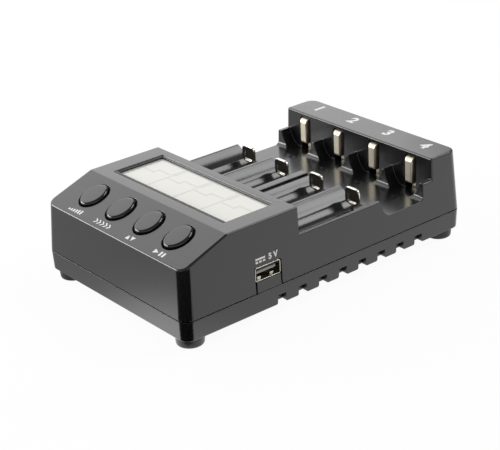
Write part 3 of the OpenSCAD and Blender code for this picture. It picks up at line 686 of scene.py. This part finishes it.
segment = clear_over("liquid_crystal_segment", SEGMENT, SEGMENT_CLOUD, GLASS_ROUGHNESS)
glass_top = Matrix.Translation((0, 0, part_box("display_panel")[1].z))
first_field = -FIELD_PITCH * (FIELDS - 1) / 2
step_x = first_field + FIELD_WIDTH * (LOW_SHARE - 0.5)
stepped = [
    block(first_field - FIELD_WIDTH / 2, STEP_LOW, step_x, STEP_LOW + LINE_WIDTH),
    block(step_x, STEP_LOW, step_x + LINE_WIDTH, STEP_HIGH),
    block(step_x, STEP_HIGH, first_field + FIELD_WIDTH / 2, STEP_HIGH + LINE_WIDTH)]
steps = grow(
    "display_field_edges", raised("display_field_edge", stepped, glass_top, SEGMENT_LIFT), row_tree,
    {"Count": FIELDS, "Pitch": (FIELD_PITCH, 0, 0), "Finish": segment})
gap_x = first_field + FIELD_PITCH / 2
gaps = [
    block(gap_x - LINE_WIDTH / 2, VIEW_FRONT, gap_x + LINE_WIDTH / 2, VIEW_REAR - GAP_LENGTH),
    block(gap_x - GAP_WIDTH / 2, VIEW_REAR - GAP_LENGTH, gap_x + GAP_WIDTH / 2, VIEW_REAR - SEAL_WIDTH)]
dividers = grow(
    "display_dividers", raised("display_divider", gaps, glass_top, SEGMENT_LIFT), row_tree,
    {"Count": FIELDS - 1, "Pitch": (FIELD_PITCH, 0, 0), "Finish": segment})
seal = new_piece("display_seal", raised("display_seal", [
    block(-SEAL_HALF, VIEW_REAR - SEAL_WIDTH, SEAL_HALF, VIEW_REAR),
    block(-SEAL_HALF, VIEW_FRONT, SEAL_HALF, VIEW_FRONT + SEAL_WIDTH),
    block(-SEAL_HALF, VIEW_FRONT + SEAL_WIDTH, SEAL_WIDTH - SEAL_HALF, VIEW_REAR - SEAL_WIDTH),
    block(SEAL_HALF - SEAL_WIDTH, VIEW_FRONT + SEAL_WIDTH, SEAL_HALF, VIEW_REAR - SEAL_WIDTH),
], glass_top, SEGMENT_LIFT))
for piece in (steps, dividers, seal):
    dress(piece, segment, "housing")
# Painted shade: a black strip on the front ledge of the window draws the dark line of shade along its front
# edge.
ledge = Matrix.Translation((0, 0, cad_box[1].z - LEDGE_DROP))
strip = [block(-SHADE_STRIP_HALF, SHADE_STRIP_FRONT, SHADE_STRIP_HALF, SHADE_STRIP_REAR)]
painted_shade_strip = new_piece("display_painted_shade_strip", raised("display_painted_shade_strip", strip, ledge, SHADE_STRIP_HEIGHT))
dress(painted_shade_strip, rubber, "housing")


# Top cover
# One moulding of the same charcoal ABS with the console, the button slope, four cradles with finger windows
# and the rear contact wall. Each cradle's floor has a raised plus sign that shows which way a cell lies.
COVER_EDGE = 0.3 * MM
PLUS_ARM = 3.0 * MM
PLUS_HALF = 0.6 * MM
PLUS_LIFT = 0.25 * MM
PLUS_PLACE = (2.0 * MM, 49.8 * MM)
DOWN = Vector((0, 0, -1))
ACROSS = Vector((1, 0, 0))

top_cover = eased_copy("top_cover", "top_cover_moulding", COVER_EDGE, segments=3)
dress(top_cover, abs_cover, "housing")
cover_points = [vertex.co for vertex in top_cover.data.vertices]
cover_faces = [list(face.vertices) for face in top_cover.data.polygons]
cover_skin = BVHTree.FromPolygons(cover_points, cover_faces)


def seat_on_cover(start, towards, across):
    """The seat where a ray meets the top cover: axes across, up and out of the surface, and the place."""
    place, out, _, _ = cover_skin.ray_cast(start, towards)
    across = (across - out * across.dot(out)).normalized()
    axes = Matrix((across, out.cross(across), out)).transposed().to_4x4()
    return Matrix.Translation(place) @ axes


bay_x = [(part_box(f"slider_contact_{n}")[0].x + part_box(f"slider_contact_{n}")[1].x) / 2 for n in BAYS]
bay_pitch = bay_x[1] - bay_x[0]
plus = [
    (PLUS_HALF, -PLUS_ARM), (PLUS_HALF, -PLUS_HALF), (PLUS_ARM, -PLUS_HALF), (PLUS_ARM, PLUS_HALF),
    (PLUS_HALF, PLUS_HALF), (PLUS_HALF, PLUS_ARM), (-PLUS_HALF, PLUS_ARM), (-PLUS_HALF, PLUS_HALF),
    (-PLUS_ARM, PLUS_HALF), (-PLUS_ARM, -PLUS_HALF), (-PLUS_HALF, -PLUS_HALF), (-PLUS_HALF, -PLUS_ARM)]
floor_seat = seat_on_cover(Vector((bay_x[0] + PLUS_PLACE[0], PLUS_PLACE[1], cad_box[1].z)), DOWN, ACROSS)
signs = grow(
    "cradle_plus_signs", raised("cradle_plus_sign", [plus], floor_seat, PLUS_LIFT), row_tree,
    {"Count": len(BAYS), "Pitch": (bay_pitch, 0, 0), "Finish": abs_cover})
dress(signs, abs_cover, "housing")


# Push buttons
# Four oval caps of the same ABS from a polished mould, so their edges gleam. They stand in holes of the
# slope and press the tact switches behind them.
BUTTON_ROUGHNESS = (0.08, 0.12)
BUTTON_EDGE = 0.25 * MM

cap = moulded_plastic("charcoal_abs_smooth", CHARCOAL, CHARCOAL_WORN, BUTTON_ROUGHNESS)
for number in BAYS:
    button = eased_copy(f"button_{number}", f"button_cap_{number}", BUTTON_EDGE, segments=3)
    dress(button, cap, f"push_button_{number}")


# Printed marks
# Pad-printed white ink, thin and slightly chalky: a plain sign under each button, the voltage over the USB
# outlet and the bay numbers on the rear wall. The ink lies on the cover and follows its faces. The signs are
# drawn with a height of about 1 and then brought to their size.
INK = "#eeeeec"
INK_THIN = "#dcdcda"
INK_ROUGHNESS = 0.5
INK_IOR = 1.48
INK_PATCH = 1.0 * MM
INK_DETAIL = 3.0
INK_LIFT = 0.03 * MM
SIGN_HEIGHT = 2.4 * MM
SIGN_DROP = 10.6 * MM
BAR_COUNT = 6
BAR_PITCH = 0.66
BAR_HALF = 0.198
BAR_STEPS = 8
CHEVRON = ((-0.4, -0.5), (-0.05, -0.5), (0.45, 0), (-0.05, 0.5), (-0.4, 0.5), (0.1, 0))
CHEVRON_COUNT = 5
CHEVRON_PITCH = 0.95
ARROW_UP = ((-1.08, -0.45), (-0.08, -0.45), (-0.58, 0.45))
ARROW_DOWN = ((0.08, 0.45), (0.58, -0.45), (1.08, 0.45))
START_ARROW = ((-1.4, -0.5), (-0.25, 0), (-1.4, 0.5))
PAUSE_STARTS = (0.15, 0.95)
PAUSE_WIDTH = 0.45
CURRENT_HEIGHT = 3.0 * MM
CURRENT_LINE = (-2.2, -0.5)
CURRENT_NEAR, CURRENT_FAR = 0.08, 0.36
DASH_STARTS = (-2.2, -1.57, -0.94)
DASH_LENGTH = 0.44
DIGIT_HEIGHT = 6.5 * MM
DIGIT_Y = 70.0 * MM
VOLT_HEIGHT = 2.7 * MM
VOLT_Y = -34.5 * MM
VOLT_Z = 27.7 * MM
VOLT_SHIFT = 2.6 * MM
STROKE_GROWTH = 0.045
UNIT_HALF = 0.5

ink, tree = empty_material("white_pad_printing_ink")
thin = noise(tree, object_place(tree), INK_PATCH, INK_DETAIL)
show(tree, add_node(
    tree, "ShaderNodeBsdfPrincipled",
    {"Base Color": between(tree, thin, INK, INK_THIN), "Roughness": INK_ROUGHNESS, "IOR": INK_IOR}))


def printed_text(name, words, height, seat):
    """Plain figures as a thin mesh of this height, centred on the seat."""
    letters = bpy.data.curves.new(name, "FONT")
    letters.body = words
    letters.align_x = "CENTER"
    letters.align_y = "CENTER"
    letters.extrude = UNIT_HALF
    letters.offset = STROKE_GROWTH
    outline = new_piece(name, letters)
    graph = bpy.context.evaluated_depsgraph_get()
    mesh = bpy.data.meshes.new_from_object(outline.evaluated_get(graph))
    bpy.data.objects.remove(outline)
    tall = max(v.co.y for v in mesh.vertices) - min(v.co.y for v in mesh.vertices)
    scale = height / tall
    flat = Matrix.Diagonal((scale, scale, INK_LIFT, 1))
    mesh.transform(seat @ Matrix.Translation((0, 0, INK_LIFT / 2)) @ flat)
    return new_piece(name, mesh)


def printed_sign(name, outlines, height, seat):
    """A sign of flat outlines in ink, brought to this height on the seat."""
    sized = [[(x * height, y * height) for x, y in outline] for outline in outlines]
    dress(new_piece(name, raised(name, sized, seat, INK_LIFT)), ink, "housing")


def places(count, pitch):
    """The places along X of a centred row."""
    return [(k - (count - 1) / 2) * pitch for k in range(count)]


bars = [
    block(x - BAR_HALF, -0.5, x + BAR_HALF, (k + 1 + BAR_STEPS - BAR_COUNT) / BAR_STEPS - 0.5)
    for k, x in enumerate(places(BAR_COUNT, BAR_PITCH))]
chevrons = [[(place + x, y) for x, y in CHEVRON] for place in places(CHEVRON_COUNT, CHEVRON_PITCH)]
start = [START_ARROW] + [block(x, -0.5, x + PAUSE_WIDTH, 0.5) for x in PAUSE_STARTS]
steady = [block(CURRENT_LINE[0], CURRENT_NEAR, CURRENT_LINE[1], CURRENT_FAR)]
steady += [block(x, -CURRENT_FAR, x + DASH_LENGTH, -CURRENT_NEAR) for x in DASH_STARTS]
press = next(j for j in frame["record"]["behaviour"]["joints"] if j["name"] == "button_1_press")
inwards = Vector(press["axis"])
along = ACROSS.cross(-inwards)
for number, sign in zip(BAYS, (bars, chevrons, (ARROW_UP, ARROW_DOWN), start)):
    low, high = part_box(f"button_{number}")
    above = (low + high) / 2 + along * SIGN_DROP - inwards * SIGN_DROP
    printed_sign(f"button_sign_{number}", sign, SIGN_HEIGHT, seat_on_cover(above, inwards, ACROSS))
for number, x in zip(BAYS, bay_x):
    seat = seat_on_cover(Vector((x, DIGIT_Y, cad_box[1].z)), DOWN, ACROSS)
    digit = printed_text(f"bay_number_{number}", str(number), DIGIT_HEIGHT, seat)
    dress(digit, ink, "housing")
seat = seat_on_cover(Vector((cad_box[1].x * 2, VOLT_Y, VOLT_Z)), -ACROSS, Vector((0, 1, 0)))
volts = printed_text("usb_voltage", "5 V", VOLT_HEIGHT, seat @ Matrix.Translation((VOLT_SHIFT, 0, 0)))
dress(volts, ink, "housing")
printed_sign("usb_current_sign", steady, CURRENT_HEIGHT, seat)


# Housing screws
# Four zinc-plated steel screws with a crossed recess, driven up through the bottom cover into bosses of the
# top cover. The plating is bright with a faint clouded tone.
ZINC = "#b9bcc0"
ZINC_CLOUD = "#8f9298"
ZINC_ROUGHNESS = (0.28, 0.45)
SCREW_EDGE = 0.12 * MM

zinc = plated_metal("zinc_plated_steel", ZINC, ZINC_CLOUD, PLATING_PATCH, ZINC_ROUGHNESS)
dress(eased_copy("housing_screws", "cross_head_screws", SCREW_EDGE), zinc, "housing")
